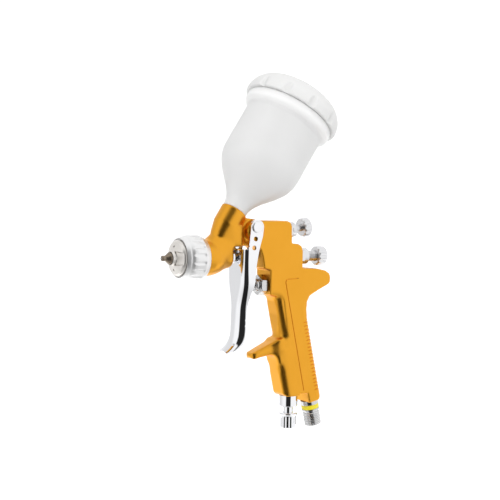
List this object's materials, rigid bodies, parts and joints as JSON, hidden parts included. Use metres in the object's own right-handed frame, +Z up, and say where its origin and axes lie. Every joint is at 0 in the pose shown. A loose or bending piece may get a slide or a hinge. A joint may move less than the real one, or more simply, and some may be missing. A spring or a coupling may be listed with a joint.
{
  "type": "mini gravity-feed spray gun",
  "caption": "Small gold gravity-feed spray gun with a leaning white screw-lid cup, chrome trigger, fluted knobs and a threaded air inlet.",
  "frame": {"origin": "centre of the open end of the threaded air inlet", "axes": "+Z up the gun towards the cup, -X the way it sprays, +Y out of its right side"},
  "size_m": [0.1447, 0.076, 0.2715],
  "materials": {
    "gold": "orange-gold anodised, satin",
    "chrome": "bright chrome plate",
    "satin_silver": "satin silver anodised",
    "cap_metal": "fine machined nickel grey",
    "dark_steel": "heat-dulled stainless steel",
    "steel": "bright drawn steel",
    "milk_plastic": "translucent milky polyethylene",
    "filter_mesh": "moulded nylon mesh",
    "black_polymer": "acetal and nitrile seals",
    "white_seal": "PTFE",
    "yellow_plastic": "moulded identification ring"
  },
  "bodies": {
    "gun": {"gun_body": "gold", "fluid_tip": "dark_steel", "air_separator": "black_polymer", "separator_seal": "black_polymer", "needle_packing": "white_seal", "packing_spring": "steel", "packing_nut": "chrome", "trigger_stud": "chrome", "trigger_screw": "chrome", "air_valve_nut": "chrome", "air_valve_packing": "black_polymer", "air_valve_seat": "steel", "air_valve_spring": "steel", "needle_spring": "steel", "needle_housing": "chrome", "spreader_bushing": "chrome", "airflow_bushing": "chrome", "spreader_seal": "black_polymer", "airflow_seal": "black_polymer", "air_inlet": "steel", "colour_ring": "yellow_plastic"},
    "trigger": {"trigger": "chrome"},
    "needle": {"fluid_needle": "steel"},
    "air_valve": {"air_valve_stem": "steel", "air_valve_poppet": "black_polymer"},
    "cap_carrier": {"air_cap_clip": "steel"},
    "cap_ring": {"air_cap_ring": "satin_silver"},
    "air_cap": {"air_cap": "cap_metal"},
    "cup_carrier": {"cup_filter": "filter_mesh"},
    "cup": {"cup": "milk_plastic"},
    "lid_plug": {"lid_vent_plug": "milk_plastic"},
    "lid": {"cup_lid": "milk_plastic", "lid_gasket": "white_seal"},
    "fluid_screw": {"fluid_screw": "satin_silver", "spring_pad": "black_polymer"},
    "fluid_knob": {"fluid_knob": "satin_silver"},
    "spreader_stem": {"spreader_stem": "satin_silver"},
    "spreader_knob": {"spreader_knob": "satin_silver"},
    "airflow_stem": {"airflow_stem": "chrome"},
    "airflow_knob": {"airflow_knob": "chrome"}
  },
  "joints": [
    {"name": "trigger_pull", "type": "hinge", "parent": "gun", "child": "trigger", "pos_m": [-0.0626, 0, 0.1543], "axis": [0, -1, 0], "range_deg": [0, 9], "stiffness_Nm_per_rad": 0.6, "springref_deg": -20.05, "deforming": ["needle_spring", "air_valve_spring"]},
    {"name": "needle_slide", "type": "slide", "parent": "gun", "child": "needle", "axis": [1, 0, 0], "range_m": [0, 0.0046]},
    {"name": "air_valve_slide", "type": "slide", "parent": "gun", "child": "air_valve", "axis": [1, 0, 0], "range_m": [0, 0.0076]},
    {"name": "cap_carrier_slide", "type": "slide", "parent": "gun", "child": "cap_carrier", "axis": [-1, 0, 0], "range_m": [0, 0.0046]},
    {"name": "cap_ring_unscrew", "type": "hinge", "parent": "cap_carrier", "child": "cap_ring", "pos_m": [-0.1092, 0, 0.1316], "axis": [1, 0, 0], "range_deg": [0, 1080]},
    {"name": "air_cap_turn", "type": "hinge", "parent": "cap_carrier", "child": "air_cap", "pos_m": [-0.1192, 0, 0.1316], "axis": [1, 0, 0], "continuous": true},
    {"name": "cup_carrier_slide", "type": "slide", "parent": "gun", "child": "cup_carrier", "axis": [0.5446, 0, 0.8387], "range_m": [0, 0.0064]},
    {"name": "cup_unscrew", "type": "hinge", "parent": "cup_carrier", "child": "cup", "pos_m": [-0.0753, 0, 0.1662], "axis": [0.5446, 0, 0.8387], "range_deg": [0, 1080]},
    {"name": "lid_lift", "type": "slide", "parent": "cup", "child": "lid_plug", "axis": [0.5446, 0, 0.8387], "range_m": [0, 0.12]},
    {"name": "lid_turn", "type": "hinge", "parent": "lid_plug", "child": "lid", "pos_m": [-0.02084, 0, 0.25007], "axis": [0.5446, 0, 0.8387], "continuous": true},
    {"name": "fluid_screw_slide", "type": "slide", "parent": "gun", "child": "fluid_screw", "axis": [1, 0, 0], "range_m": [-0.0011, 0.0021]},
    {"name": "fluid_knob_turn", "type": "hinge", "parent": "fluid_screw", "child": "fluid_knob", "pos_m": [0.0008, 0, 0.1316], "axis": [-1, 0, 0], "range_deg": [-360, 720], "deforming": ["needle_spring"]},
    {"name": "spreader_stem_slide", "type": "slide", "parent": "gun", "child": "spreader_stem", "axis": [0.9877, 0, 0.1564], "range_m": [-0.0011, 0.0021]},
    {"name": "spreader_knob_turn", "type": "hinge", "parent": "spreader_stem", "child": "spreader_knob", "pos_m": [-0.01537, 0, 0.15319], "axis": [-0.9877, 0, -0.1564], "range_deg": [-360, 720]},
    {"name": "airflow_stem_slide", "type": "slide", "parent": "gun", "child": "airflow_stem", "axis": [0, 0, -1], "range_m": [-0.0011, 0.0021]},
    {"name": "airflow_knob_turn", "type": "hinge", "parent": "airflow_stem", "child": "airflow_knob", "pos_m": [-0.0237, 0, 0.0116], "axis": [0, 0, 1], "range_deg": [-360, 720]}
  ],
  "couplings": [
    {"joint": "needle_slide", "follows": "trigger_pull", "m_per_rad": 0.0285},
    {"joint": "air_valve_slide", "follows": "trigger_pull", "m_per_rad": 0.0472},
    {"joint": "cap_carrier_slide", "follows": "cap_ring_unscrew", "m_per_rad": 0.00023873},
    {"joint": "cup_carrier_slide", "follows": "cup_unscrew", "m_per_rad": 0.00031831},
    {"joint": "fluid_screw_slide", "follows": "fluid_knob_turn", "m_per_rad": 0.00015915},
    {"joint": "spreader_stem_slide", "follows": "spreader_knob_turn", "m_per_rad": 0.00015915},
    {"joint": "airflow_stem_slide", "follows": "airflow_knob_turn", "m_per_rad": 0.00015915}
  ]
}
